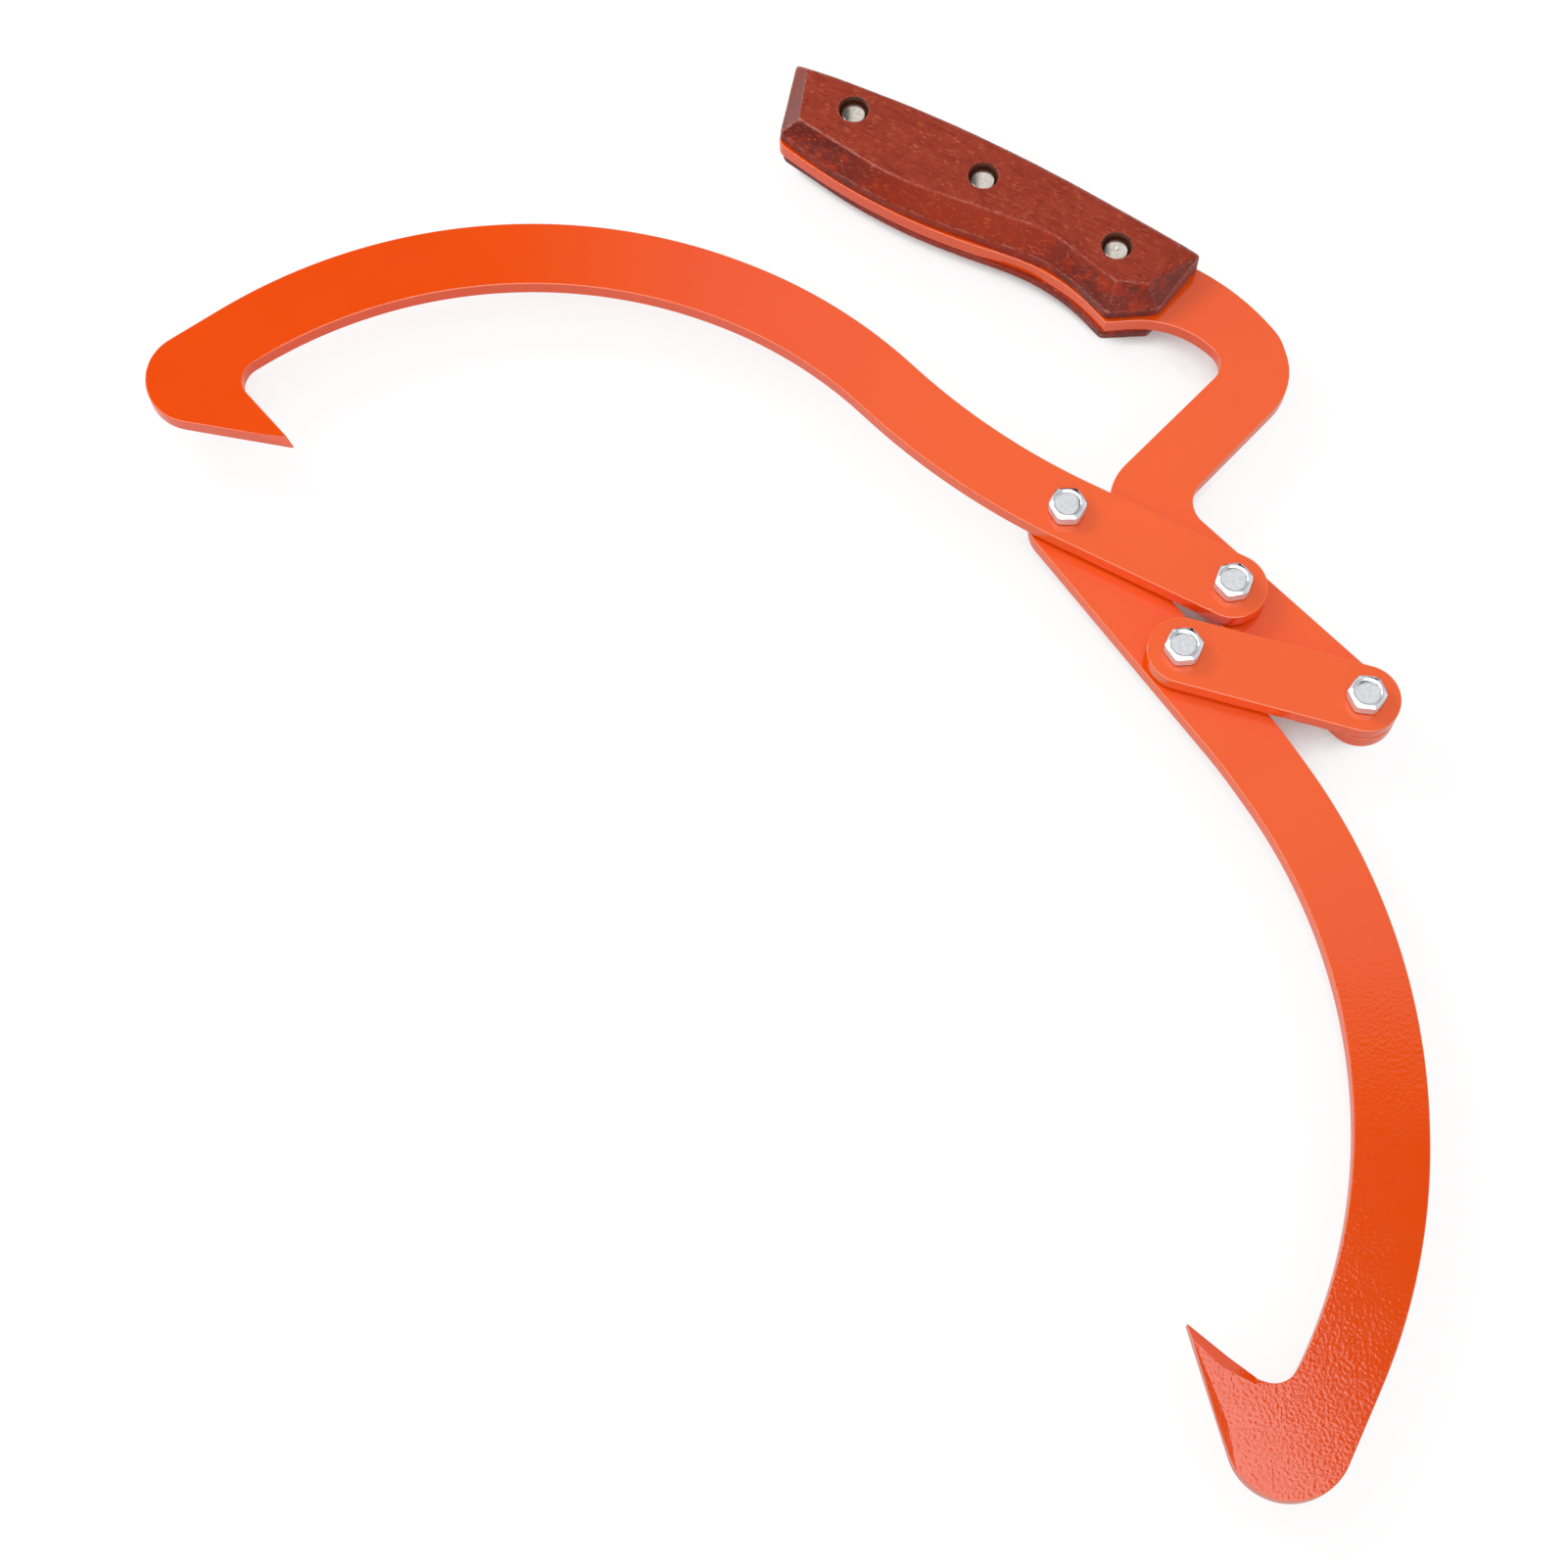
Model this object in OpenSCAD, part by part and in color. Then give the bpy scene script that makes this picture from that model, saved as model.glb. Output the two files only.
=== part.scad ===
// Hand tongs for skidding logs: two hooked arms, a link and a handle plate with a wooden grip,
// joined by four pivot bolts. Millimetres. The tongs lie on their back, open, with +Z up.
// The origin is under the middle of the tongs, on the surface they lie on.

/* [Plates] */
// Thickness of the four steel plates
plate_t = 6; // [5:0.5:7]
// Width of the flat bar that both arms are cut to
arm_w = 23.3; // [20:0.1:24]
// Radius of the round ends about the pivots, and half the width of the short link
end_r = 11.6; // [11.6:0.1:12.2]
// Space between the two layers of plates
layer_gap = 1; // [0.6:0.1:2]

/* [Pivots] */
// Pivot of the two arms, across
arm_pivot_x = 100.4; // [99.4:0.5:101.4]
// Pivot of the two arms, up the page
arm_pivot_y = 74.3; // [73.3:0.5:75.3]
// Pivot of the upper arm on the handle plate, across
grip_pivot_x = 153.3; // [152.3:0.5:154.3]
// Pivot of the upper arm on the handle plate, up the page
grip_pivot_y = 47.1; // [46.1:0.5:48.1]
// Pivot of the link on the lower arm, across
link_arm_pivot_x = 136.1; // [135.1:0.5:137.1]
// Pivot of the link on the lower arm, up the page
link_arm_pivot_y = 24.3; // [23.3:0.5:25.3]
// Pivot of the link on the handle plate, across
link_grip_pivot_x = 193.8; // [192.8:0.5:194.8]
// Pivot of the link on the handle plate, up the page
link_grip_pivot_y = 7.5; // [6.5:0.5:8.5]

/* [Fasteners] */
// Diameter of the pivot bolts
bolt_d = 8; // [6:0.5:8]
// Width of the bolt heads across their flats
head_af = 11.5; // [11:0.5:13]
// Height of the bolt heads
head_h = 5.3; // [4:0.1:6]
// Width of the lock nuts across their flats
nut_af = 13; // [12.5:0.5:14]
// Height of the lock nuts
nut_h = 8; // [7:0.5:9]
// Thread that shows past each lock nut
thread_tail = 2.4; // [1:0.1:4]
// Outer diameter of the washers
washer_d = 16; // [15:0.5:18]
// Thickness of the washers under the nuts
washer_t = 1.6; // [1:0.1:2]
// Radial clearance of the bolts in the plates
pivot_play = 0.05; // [0.02:0.01:0.1]
// Radial clearance of the link's bolt in the lower arm's loose hole
loose_play = 1.85; // [1.8:0.05:1.95]

/* [Grip] */
// Height of the straight side wall of the wooden scales
scale_wall = 4.5; // [3:0.5:6]
// Diameter of the holes that the rivet heads sit in
rivet_pocket_d = 10; // [9:0.1:11]
// Diameter of the rivet heads
rivet_head_d = 8.2; // [7:0.1:8.6]
// Depth of the rivet heads below the wood
rivet_sink = 2.5; // [1.5:0.1:3]
// Outer diameter of the rivets' sleeves
rivet_sleeve_d = 5; // [4.5:0.1:6]
// Diameter of the rivets' pins
rivet_pin_d = 3.5; // [3:0.1:3.8]

/* [Points] */
// Size of the ground bevels at the lower arm's point, as a share of the usual
point_bevel = 1; // [0.6:0.1:1.2]
// Length of the ground bevel at the upper arm's point
tip_bevel = 12; // [8:0.5:14]

/* [Hidden] */
arm_pivot = [arm_pivot_x, arm_pivot_y];
grip_pivot = [grip_pivot_x, grip_pivot_y];
link_arm_pivot = [link_arm_pivot_x, link_arm_pivot_y];
link_grip_pivot = [link_grip_pivot_x, link_grip_pivot_y];

// Each pivot with its name, and how far its bolt and nut are turned
PIVOTS = [
    ["arm", arm_pivot, 0],
    ["grip", grip_pivot, 10],
    ["link_arm", link_arm_pivot, 4],
    ["link_grip", link_grip_pivot, -7]
];
FASTENERS = ["bolt", "nut", "nut_insert", "washer", "spacer"];

// Heights: the wood is as thick as the fasteners behind the plates, so both meet the surface
scale_t = thread_tail + nut_h + washer_t;
lower_z = scale_t;
upper_z = lower_z + plate_t + layer_gap;
head_z = upper_z + plate_t;
wood_z = lower_z + plate_t;

// Corners are [x, y, radius of the rounding]. The arms' middle lines start at their round ends.
upper_line = [[70.2, 91.5, 239], [19.2, 144, 159], [-98.3, 195, 168.5]];
upper_hook = [[-208.8, 130.5, 17], [-201.3, 108.5, 17], [-155.8, 100, 0], [-176.8, 124, 8]];
lower_line = [[157.2, -6, 196], [196.7, -70, 194], [191.7, -171.5, 185]];
lower_hook = [
    [161.2, -204, 18], [155.2, -213.5, 8], [128.2, -191.5, 0], [140.2, -235.5, 17], [162.2, -257, 19]
];

// The tang from its lip round its end; the back edge is the wood's too
tang_lip = [116.6, 148, 0.5];
tang_belly = [[100.8, 167.8, 68], [42.3, 189.2, 216], [5.6, 219, 4.5]];
tang_back = [[12, 244.2, 1], [66, 221.4, 530]];
// Neck of the handle plate: over its outside down to the bar, then back up its inside
neck_outside = [[163.7, 159.5, 84], [175.7, 142.5, 17], [180.2, 124, 23], [139.2, 80.5, 10]];
neck_inside = [[107.2, 80, 21], [157.7, 132.5, 8], [141.2, 150, 33]];
// Each scale is shaped by hand: from its end at the neck round the lip and along the belly
front_edge = [
    [134.4, 150.7, 3], [116.5, 149.3, 2.5], [99.4, 168.5, 55], [31.1, 196.2, 180], [6.2, 220.3, 1]
];
back_edge = [
    [131.9, 148.4, 2], [115.6, 147.5, 1], [100.1, 167, 69], [40.7, 191.3, 200], [7, 219.5, 3]
];
wood_corner = [149, 168.9, 1];
// Corners of the flat top, and how far up to it the side wall rises below each
wood_top = [
    [130.2, 156.2, 1], [119.2, 157.3, 1], [97.2, 177, 44], [45.2, 197.5, 100],
    [12.5, 221, 2], [15.8, 241.7, 1], [65.9, 220.9, 530], [141.9, 171.8, 2]
];
wall_rise = [0, 0, 0, 0, 0.1, 0.8, 0.93, 0.6];
rivets = [[31.7, 225], [75.7, 198.5], [120.2, 171]];

// The link's bolt moves in the lower arm's hole as the tongs close, so that hole lies off the pivot
loose_hole = link_arm_pivot + [1.43, -1.01];
// Middle of the lower arm's round end
lower_end = arm_pivot + [-0.3, -2.1];

pivot_r = bolt_d / 2 + pivot_play;
// Washers and spacers fit loosely on the bolts
ring_play = 0.2;

// Rivets: the heads rest on the bottom of their pockets, this far above the plate
rivet_head_h = 1.5;
rivet_dome_r = 12;
rivet_seat = scale_t - rivet_sink - rivet_head_h;
rivet_hole_d = rivet_sleeve_d + 2 * pivot_play;

// The flat ends of the hexagons lie this far inside their flats
head_inset = 0.9;
nut_inset = 0.3;

// Lock nuts: a hexagon, a round collar, and a plastic ring held in by a crimped lip
nut_z = thread_tail;
collar_h = 1.5;
collar_inset = 0.9;
lip_t = 0.3;
lip_r = pivot_r + 0.5;
insert_z = nut_z + lip_t;
insert_h = 2;
insert_r = pivot_r + 1.2;

// Ground bevels: lines where they leave the top face, and how steeply they fall
tip = [upper_hook[2][0], upper_hook[2][1]];
tip_grind = [tip + [-tip_bevel, 2.25], tip + [0, 1.4]];
tip_fall = 4;
point = [lower_hook[2][0], lower_hook[2][1]];
point_grind_inside = [[25, 12], [27.7, -17.6], [19.1, -18.3], [9.6, -13.3], [1.6, -5.1]];
point_grind_outside = [[1.6, -5.1], [10.3, -29.1], [12, -40.6]];
point_fall = [0.7, 1.2];

// How far a straight piece of an outline may lie off the arc that it stands for
chord_error = 0.01;
round_end_step = 5;
wood_arc_parts = 8;
sink = 0.5;
$fn = 48;

function xy(corner) = [corner[0], corner[1]];
function last(list) = list[len(list) - 1];
function reversed(list) = [for (i = [len(list) - 1:-1:0]) list[i]];
function heading(a, b) = (b - a) / norm(b - a);
function to_left(v) = [-v[1], v[0]];

// How far the rounding of corner i reaches along its edges
function reach_of(path, i) =
    i == 0 || i == len(path) - 1 ? 0 :
    let (
        u = heading(xy(path[i]), xy(path[i - 1])),
        v = heading(xy(path[i]), xy(path[i + 1]))
    )
    path[i][2] / tan(acos(u * v) / 2);

// How much of their reach the roundings at both ends of the edge from corner i may have
function share_of(path, i) =
    0.999 * norm(xy(path[i + 1]) - xy(path[i])) / (reach_of(path, i) + reach_of(path, i + 1));

// Points of the arc that rounds corner i of a path; parts = 0 picks their number by angle
function corner_arc(path, i, parts) =
    let (
        p = xy(path[i]),
        u = heading(p, xy(path[i - 1])), v = heading(p, xy(path[i + 1])),
        half = acos(u * v) / 2,
        r = path[i][2] * min(1, share_of(path, i - 1), share_of(path, i)),
        middle = p + (u + v) / norm(u + v) * r / sin(half),
        first = p + u * r / tan(half) - middle,
        start = atan2(first[1], first[0]),
        sweep = (180 - 2 * half) * sign(cross(v, u)),
        n = parts > 0 ? parts : max(2, ceil(abs(sweep) / (2 * acos(1 - chord_error / r))))
    )
    r == 0 ? [p] : [
        for (k = [0:n]) middle + r * [cos(start + sweep * k / n), sin(start + sweep * k / n)]
    ];

// An open path of corners, without its two end points
function rounded_path(path) = [for (i = [1:len(path) - 2]) each corner_arc(path, i, 0)];

// A closed outline of corners, each rounded with the same number of parts
function rounded_loop(loop, parts) =
    let (n = len(loop), path = concat([loop[n - 2], loop[n - 1]], loop, [loop[0], loop[1]]))
    [for (i = [2:n + 1]) each corner_arc(path, i, parts)];

// Round end about a middle, from its left side over to its right side as seen along the heading
function round_end(middle, way) =
    let (a = atan2(way[1], way[0])) [
        for (t = [90:-round_end_step:-90]) middle + end_r * [cos(a + t), sin(a + t)]
    ];

// Corners of the edge at a distance to the left of a middle line
function side_edge(line, distance) = [
    for (i = [1:len(line) - 2])
        let (
            before = heading(xy(line[i - 1]), xy(line[i])),
            after = heading(xy(line[i]), xy(line[i + 1])),
            out = heading([0, 0], to_left(before) + to_left(after)),
            corner = xy(line[i]) + out * distance / (out * to_left(before))
        )
        [corner[0], corner[1], line[i][2] - sign(cross(before, after)) * distance]
];

// Outline of an arm: a round end, a bar of constant width along its line, and its hook
function arm_outline(end, line, hook) =
    let (
        way = heading(xy(line[0]), end),
        middle = concat([end], line, [(xy(hook[0]) + xy(last(hook))) / 2]),
        left_end = end - to_left(way) * end_r,
        right_end = end + to_left(way) * end_r
    )
    concat(
        reversed(round_end(end, way)),
        rounded_path(concat(
            [right_end], side_edge(middle, -arm_w / 2), hook,
            reversed(side_edge(middle, arm_w / 2)), [left_end]
        ))
    );

function handle_outline() =
    let (
        way = heading(grip_pivot, link_grip_pivot),
        left_end = link_grip_pivot + to_left(way) * end_r,
        right_end = link_grip_pivot - to_left(way) * end_r
    )
    concat(
        round_end(link_grip_pivot, way),
        rounded_path(concat(
            [right_end], neck_inside, [tang_lip], tang_belly, tang_back, neck_outside, [left_end]
        ))
    );

function wood_outline(edge) =
    rounded_loop(concat(edge, tang_back, [wood_corner]), wood_arc_parts);

// Closed shell through outlines of equal length, listed from the bottom up
module shell_through(rings) {
    n = len(rings[0]);
    top = len(rings) - 1;
    polyhedron(
        points = [for (ring = rings) each ring],
        faces = concat(
            [[for (i = [0:n - 1]) i]],
            [for (k = [0:top - 1]) for (i = [0:n - 1])
                each [
                    [k * n + i, (k + 1) * n + i, (k + 1) * n + (i + 1) % n],
                    [k * n + i, (k + 1) * n + (i + 1) % n, k * n + (i + 1) % n]
                ]
            ],
            [[for (i = [n - 1:-1:0]) top * n + i]]
        ),
        convexity = 6
    );
}

function moved(line, by) = [for (p = line) by + point_bevel * p];
function at_height(outline, z) = [for (p = outline) [p[0], p[1], z]];

// Top edge of the wood's side wall, with one height for each rounded corner
function wall_top(outline) = [
    for (i = [0:len(outline) - 1])
        let (rise = wall_rise[floor(i / (wood_arc_parts + 1))])
        [outline[i][0], outline[i][1], scale_wall + rise * (scale_t - scale_wall)]
];

// A plate's outline as a solid, with its pivot holes
module plate(outline, z, holes) {
    difference() {
        translate([0, 0, z]) linear_extrude(plate_t) polygon(outline);
        for (h = holes) {
            translate([h[0][0], h[0][1], z - sink]) cylinder(r = h[1], h = plate_t + 2 * sink);
        }
    }
}

// Fills what lies above the slopes that fall to the right of each stretch of a line
module above_slopes(line, z, fall) {
    reach = 40;
    intersection_for (i = [1:len(line) - 1]) {
        way = line[i] - line[i - 1];
        translate([line[i][0], line[i][1], z]) rotate([0, 0, atan2(way[1], way[0])])
            rotate([90, 0, 90]) translate([0, 0, -reach]) linear_extrude(2 * reach)
                polygon([[0, 0], [-reach, -reach * fall], [-reach, sink], [-sink / fall, sink]]);
    }
}

module handle_plate() {
    color([0.92, 0.34, 0.13]) difference() {
        plate(handle_outline(), lower_z, [[grip_pivot, pivot_r], [link_grip_pivot, pivot_r]]);
        for (p = rivets) {
            translate([p[0], p[1], lower_z - sink])
                cylinder(d = rivet_hole_d, h = plate_t + 2 * sink);
        }
    }
}

module upper_arm() {
    color([0.94, 0.33, 0.11]) difference() {
        plate(
            arm_outline(grip_pivot, upper_line, upper_hook), upper_z,
            [[grip_pivot, pivot_r], [arm_pivot, pivot_r]]
        );
        above_slopes(tip_grind, head_z, tip_fall);
    }
}

module lower_arm() {
    color([0.92, 0.33, 0.13]) difference() {
        plate(
            arm_outline(lower_end, lower_line, lower_hook), lower_z,
            [[arm_pivot, pivot_r], [loose_hole, bolt_d / 2 + loose_play]]
        );
        above_slopes(moved(point_grind_inside, point), wood_z, point_fall[0]);
        above_slopes(moved(point_grind_outside, point), wood_z, point_fall[1]);
    }
}

module link_bar() {
    way = heading(link_arm_pivot, link_grip_pivot);
    color([0.96, 0.41, 0.2]) plate(
        concat(round_end(link_grip_pivot, way), round_end(link_arm_pivot, -way)), upper_z,
        [[link_arm_pivot, pivot_r], [link_grip_pivot, pivot_r]]
    );
}

// One wooden scale, with its flat inner face at z = 0
module wooden_scale(outline) {
    difference() {
        shell_through([
            at_height(outline, 0),
            wall_top(outline),
            at_height(rounded_loop(wood_top, wood_arc_parts), scale_t)
        ]);
        for (p = rivets) {
            translate([p[0], p[1], -sink])
                cylinder(d = rivet_hole_d, h = scale_t + 2 * sink);
            translate([p[0], p[1], rivet_seat])
                cylinder(d = rivet_pocket_d, h = scale_t);
        }
    }
}

module grip_scale_front() {
    color([0.58, 0.23, 0.19]) translate([0, 0, wood_z])
        wooden_scale(wood_outline(front_edge));
}

module grip_scale_back() {
    color([0.55, 0.21, 0.17]) translate([0, 0, lower_z]) mirror([0, 0, 1])
        wooden_scale(wood_outline(back_edge));
}

// Rivet head that stands on z = 0, with a low dome
module rivet_head() {
    intersection() {
        cylinder(d = rivet_head_d, h = rivet_head_h);
        translate([0, 0, rivet_head_h - rivet_dome_r]) sphere(r = rivet_dome_r);
    }
}

module grip_rivet(p) {
    color([0.8, 0.8, 0.8]) translate([p[0], p[1], wood_z + rivet_seat]) {
        rivet_head();
        translate([0, 0, -rivet_seat - plate_t]) cylinder(d = rivet_pin_d, h = rivet_seat + plate_t);
    }
}

module rivet_sleeve(p) {
    color([0.78, 0.78, 0.78]) translate([p[0], p[1], lower_z - rivet_seat]) {
        mirror([0, 0, 1]) rivet_head();
        difference() {
            cylinder(d = rivet_sleeve_d, h = 2 * rivet_seat + plate_t);
            translate([0, 0, rivet_seat - sink])
                cylinder(d = rivet_pin_d + 2 * pivot_play, h = 2 * rivet_seat + plate_t);
        }
    }
}

// Hexagon that stands on z = 0, its corners turned down at 30 degrees at the top
module hexagon(af, inset, h) {
    top_d = af - 2 * inset;
    intersection() {
        cylinder(d = af / cos(30), h = h, $fn = 6);
        cylinder(d1 = top_d + 2 * h / tan(30), d2 = top_d, h = h);
    }
}

module bolt(p, turn) {
    chamfer = 0.6;
    color([0.82, 0.83, 0.85]) translate([p[0], p[1], 0]) rotate([0, 0, turn]) {
        translate([0, 0, head_z]) hexagon(head_af, head_inset, head_h);
        translate([0, 0, chamfer]) cylinder(d = bolt_d, h = head_z - chamfer);
        cylinder(d1 = bolt_d - 2 * chamfer, d2 = bolt_d, h = chamfer);
    }
}

module nut(p, turn) {
    color([0.8, 0.81, 0.82]) translate([p[0], p[1], 0]) rotate([0, 0, turn]) difference() {
        union() {
            translate([0, 0, nut_z]) cylinder(d = nut_af - 2 * collar_inset, h = nut_h);
            translate([0, 0, nut_z + nut_h]) mirror([0, 0, 1])
                hexagon(nut_af, nut_inset, nut_h - collar_h);
        }
        translate([0, 0, nut_z - sink]) cylinder(r = pivot_r, h = nut_h + 2 * sink);
        translate([0, 0, insert_z]) cylinder(r = insert_r, h = insert_h);
        translate([0, 0, nut_z - sink]) cylinder(r = lip_r, h = lip_t + 2 * sink);
    }
}

module nut_insert(p) {
    color([0.15, 0.3, 0.7]) translate([p[0], p[1], insert_z]) difference() {
        cylinder(r = insert_r - pivot_play, h = insert_h);
        translate([0, 0, -sink]) cylinder(r = pivot_r, h = insert_h + 2 * sink);
    }
}

// Flat ring round a bolt
module ring(p, z, t) {
    color([0.75, 0.75, 0.76]) translate([p[0], p[1], z]) difference() {
        cylinder(d = washer_d, h = t);
        translate([0, 0, -sink]) cylinder(r = bolt_d / 2 + ring_play, h = t + 2 * sink);
    }
}

module washer(p) {
    ring(p, lower_z - washer_t, washer_t);
}

module spacer(p) {
    ring(p, lower_z + plate_t, layer_gap);
}

handle_plate();
grip_scale_front();
grip_scale_back();
for (i = [1:len(rivets)]) {
    grip_rivet(rivets[i - 1]);
    rivet_sleeve(rivets[i - 1]);
}
upper_arm();
lower_arm();
link_bar();
for (p = PIVOTS) {
    bolt(p[1], p[2]);
    nut(p[1], p[2]);
    nut_insert(p[1]);
    washer(p[1]);
    spacer(p[1]);
}
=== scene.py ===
"""Skidding tongs: painted plates, turned fasteners, the wooden grip, their finishes and a plain studio."""

import logging
import math
from collections.abc import Callable, Iterable, Sequence
from dataclasses import dataclass
from enum import Enum

import bmesh
import bpy
from mathutils import Matrix, Vector, noise


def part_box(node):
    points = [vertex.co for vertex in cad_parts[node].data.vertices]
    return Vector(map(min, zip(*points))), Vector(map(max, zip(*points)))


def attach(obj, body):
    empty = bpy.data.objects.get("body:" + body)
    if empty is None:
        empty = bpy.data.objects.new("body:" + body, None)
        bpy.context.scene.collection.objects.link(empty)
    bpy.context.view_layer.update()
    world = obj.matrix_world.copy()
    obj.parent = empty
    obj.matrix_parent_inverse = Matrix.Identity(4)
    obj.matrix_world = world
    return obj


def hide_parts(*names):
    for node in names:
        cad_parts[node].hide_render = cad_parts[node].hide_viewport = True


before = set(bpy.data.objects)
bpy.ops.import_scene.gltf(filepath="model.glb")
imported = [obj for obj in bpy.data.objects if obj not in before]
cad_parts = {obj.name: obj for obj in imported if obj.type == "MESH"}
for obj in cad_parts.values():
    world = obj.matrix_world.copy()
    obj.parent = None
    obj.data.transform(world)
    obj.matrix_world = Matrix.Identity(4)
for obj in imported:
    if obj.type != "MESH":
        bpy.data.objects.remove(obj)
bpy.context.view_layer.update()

LOG = logging.getLogger("tongs")
MM = 0.001

Colour = tuple[float, float, float]
Point = tuple[float, float, float]
Ring = tuple[float, float] | Callable[[float], tuple[float, float]]
DOUBLES = 0.002 * MM


class Slot(Enum):
    """The record's material slots."""

    COAT = "orange_coat"
    WOOD = "grip_wood"
    ZINC = "zinc_plate"
    RIVET = "rivet_metal"
    NYLON = "nut_nylon"


class Body(Enum):
    """The bodies that pieces ride on."""

    HANDLE = "handle"
    UPPER = "upper_arm"
    LOWER = "lower_arm"
    LINK = "link"


def linear(red: int, green: int, blue: int) -> Colour:
    """Turns a screen colour into scene light.

    Args:
        red: Red from 0 to 255.
        green: Green from 0 to 255.
        blue: Blue from 0 to 255.

    Returns:
        The three channels as scene-linear numbers.
    """
    def one(level: int) -> float:
        """Returns one channel as a scene-linear number."""
        share = level / 255
        return share / 12.92 if share <= 0.04045 else ((share + 0.055) / 1.055) ** 2.4

    return one(red), one(green), one(blue)


def rise(value: float, start: float, width: float) -> float:
    """Returns the share, from 0 to 1, of a width that a value lies past a start."""
    return min(1.0, max(0.0, (value - start) / width))


def span(node: str) -> tuple[Vector, Vector]:
    """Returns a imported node's lowest and highest corners in millimetres."""
    low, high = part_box(node)
    return Vector(low) / MM, Vector(high) / MM


# Shader maths


class Value:
    """A socket that holds a number, with the usual operators."""

    def __init__(self, recipe: "Tree", socket: bpy.types.NodeSocket) -> None:
        """Wraps a socket of the recipe's tree."""
        self.recipe = recipe
        self.socket = socket

    def _maths(self, operation: str, *others: "Value | float") -> "Value":
        """Adds one Math node on this value and the others."""
        values = dict(enumerate((self, *others)))
        node = self.recipe.node("ShaderNodeMath", {"operation": operation}, values)
        return Value(self.recipe, node.outputs[0])

    def __add__(self, other: "Value | float") -> "Value":
        """Returns the sum."""
        return self._maths("ADD", other)

    def __radd__(self, other: float) -> "Value":
        """Returns the sum."""
        return self._maths("ADD", other)

    def __sub__(self, other: "Value | float") -> "Value":
        """Returns the difference."""
        return self._maths("SUBTRACT", other)

    def __rsub__(self, other: float) -> "Value":
        """Returns the number less this value."""
        return (self * -1.0)._maths("ADD", other)

    def __mul__(self, other: "Value | float") -> "Value":
        """Returns the product."""
        return self._maths("MULTIPLY", other)

    def __rmul__(self, other: float) -> "Value":
        """Returns the product."""
        return self._maths("MULTIPLY", other)

    def most(self, other: "Value | float") -> "Value":
        """Returns the larger of the two."""
        return self._maths("MAXIMUM", other)

    def step(self, low: float, high: float) -> "Value":
        """Rises smoothly from 0 at low to 1 at high, or falls where low is the higher.

        Args:
            low: Where the result is 0.
            high: Where the result is 1.

        Returns:
            The eased share from 0 to 1.
        """
        ends = (low, high, 0.0, 1.0) if low < high else (high, low, 1.0, 0.0)
        node = self.recipe.node(
            "ShaderNodeMapRange", {"interpolation_type": "SMOOTHSTEP"},
            {"Value": self, "From Min": ends[0], "From Max": ends[1], "To Min": ends[2], "To Max": ends[3]},
        )
        return Value(self.recipe, node.outputs[0])


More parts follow.
